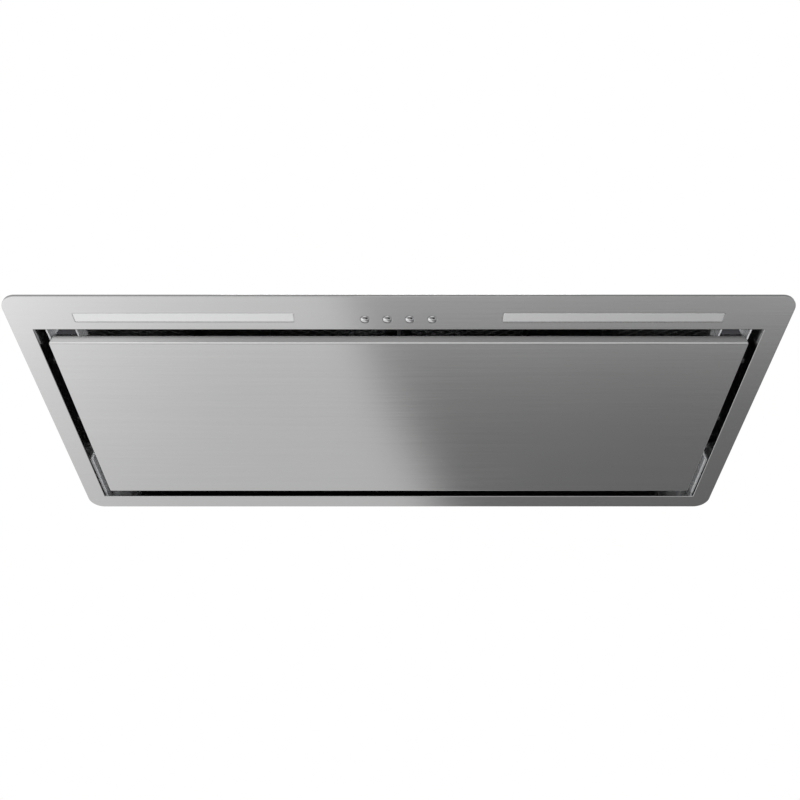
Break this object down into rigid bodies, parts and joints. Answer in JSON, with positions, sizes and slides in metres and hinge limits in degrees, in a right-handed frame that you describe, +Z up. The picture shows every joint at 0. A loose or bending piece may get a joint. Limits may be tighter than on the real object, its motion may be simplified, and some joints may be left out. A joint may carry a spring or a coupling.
{
  "type": "built-in range hood",
  "caption": "Cabinet-insert range hood: brushed flange with perimeter-suction panel, lamp strips, push buttons, grease filters, fan box and round duct spigot.",
  "frame": {"origin": "centre of the plane in which the flange's up-turned edge meets the underside of the cabinet", "axes": "+Z up, out of the flange's seat into the cabinet; +X along the width, to the right as seen by the cook; -Y towards the cook"},
  "size_m": [0.698, 0.298, 0.324],
  "materials": {
    "stainless": "fine brushed along the width",
    "bracket_steel": "bright",
    "galvanised": "galvanised sheet",
    "aluminium": "mill",
    "filter_mesh": "expanded mesh",
    "magnet": "matt",
    "latch": "satin",
    "spring_steel": "drawn wire",
    "frosted_lens": "frosted",
    "lamp_body": "satin",
    "circuit_board": "solder mask",
    "white_plastic": "fine grain",
    "button_metal": "satin chrome",
    "black_plastic": "fine grain",
    "fan_plastic": "moulded",
    "motor_metal": "die cast, with laminations",
    "rubber": "matt",
    "terminal_plastic": "plain",
    "capacitor": "smooth can",
    "screw_steel": "zinc plated",
    "lead": "sheath"
  },
  "bodies": {
    "hood": {"bottom_frame": "stainless", "button_carrier": "black_plastic", "button_spring_1": "spring_steel", "button_spring_2": "spring_steel", "button_spring_3": "spring_steel", "button_spring_4": "spring_steel", "cable_gland": "black_plastic", "capacitor_clip": "galvanised", "casing_screws": "screw_steel", "catch_magnets": "magnet", "control_board": "circuit_board", "damper_axle": "bracket_steel", "electrical_box": "white_plastic", "electrical_box_cover": "white_plastic", "fan_screws": "screw_steel", "filter_frame_left": "aluminium", "filter_frame_right": "aluminium", "filter_latch_springs": "spring_steel", "filter_mesh_left": "filter_mesh", "filter_mesh_right": "filter_mesh", "filter_rails": "galvanised", "frame_fasteners": "screw_steel", "front_partition": "galvanised", "hinge_brackets": "bracket_steel", "hinge_pins": "bracket_steel", "lamp_boards": "circuit_board", "lamp_diffuser_left": "frosted_lens", "lamp_diffuser_right": "frosted_lens", "lamp_driver": "white_plastic", "lamp_housings": "lamp_body", "lead_grommets": "rubber", "low_voltage_leads": "lead", "lower_casing": "galvanised", "magnet_brackets": "bracket_steel", "motor": "motor_metal", "motor_bracket": "galvanised", "motor_casing": "galvanised", "motor_lead": "lead", "motor_mounts": "rubber", "outlet_spigot": "black_plastic", "run_capacitor": "capacitor", "scroll_housing_left": "fan_plastic", "scroll_housing_right": "fan_plastic", "small_screws": "screw_steel", "terminal_block": "terminal_plastic", "top_plate": "galvanised"},
    "panel": {"panel_skin": "stainless", "panel_inner_tray": "galvanised", "panel_hinge_arms": "stainless", "strike_plates": "galvanised"},
    "button_1": {"push_button_1": "button_metal"},
    "button_2": {"push_button_2": "button_metal"},
    "button_3": {"push_button_3": "button_metal"},
    "button_4": {"push_button_4": "button_metal"},
    "latch_left": {"filter_latch_left": "latch"},
    "latch_right": {"filter_latch_right": "latch"},
    "rotor": {"impeller": "fan_plastic", "motor_shaft": "bracket_steel"},
    "flap_front": {"damper_flap_front": "black_plastic"},
    "flap_rear": {"damper_flap_rear": "black_plastic"}
  },
  "joints": [
    {"name": "panel_swing", "type": "hinge", "parent": "hood", "child": "panel", "pos_m": [0, 0.106, 0.012], "axis": [1, 0, 0], "range_deg": [0, 90]},
    {"name": "button_1_press", "type": "slide", "parent": "hood", "child": "button_1", "axis": [0, 0, 1], "range_m": [0, 0.0015], "stiffness_N_per_m": 400, "springref_m": -0.003, "deforming": ["button_spring_1"]},
    {"name": "button_2_press", "type": "slide", "parent": "hood", "child": "button_2", "axis": [0, 0, 1], "range_m": [0, 0.0015], "stiffness_N_per_m": 400, "springref_m": -0.003, "deforming": ["button_spring_2"]},
    {"name": "button_3_press", "type": "slide", "parent": "hood", "child": "button_3", "axis": [0, 0, 1], "range_m": [0, 0.0015], "stiffness_N_per_m": 400, "springref_m": -0.003, "deforming": ["button_spring_3"]},
    {"name": "button_4_press", "type": "slide", "parent": "hood", "child": "button_4", "axis": [0, 0, 1], "range_m": [0, 0.0015], "stiffness_N_per_m": 400, "springref_m": -0.003, "deforming": ["button_spring_4"]},
    {"name": "filter_latch_left_slide", "type": "slide", "parent": "hood", "child": "latch_left", "axis": [0, 1, 0], "range_m": [0, 0.007], "stiffness_N_per_m": 250, "springref_m": -0.004, "deforming": ["filter_latch_springs"]},
    {"name": "filter_latch_right_slide", "type": "slide", "parent": "hood", "child": "latch_right", "axis": [0, 1, 0], "range_m": [0, 0.007], "stiffness_N_per_m": 250, "springref_m": -0.004, "deforming": ["filter_latch_springs"]},
    {"name": "fan_spin", "type": "hinge", "parent": "hood", "child": "rotor", "pos_m": [0, 0.006, 0.145], "axis": [1, 0, 0], "continuous": true},
    {"name": "flap_front_swing", "type": "hinge", "parent": "hood", "child": "flap_front", "pos_m": [0, -0.028, 0.276], "axis": [-1, 0, 0], "range_deg": [0, 75]},
    {"name": "flap_rear_swing", "type": "hinge", "parent": "hood", "child": "flap_rear", "pos_m": [0, -0.028, 0.276], "axis": [1, 0, 0], "range_deg": [0, 75]}
  ]
}
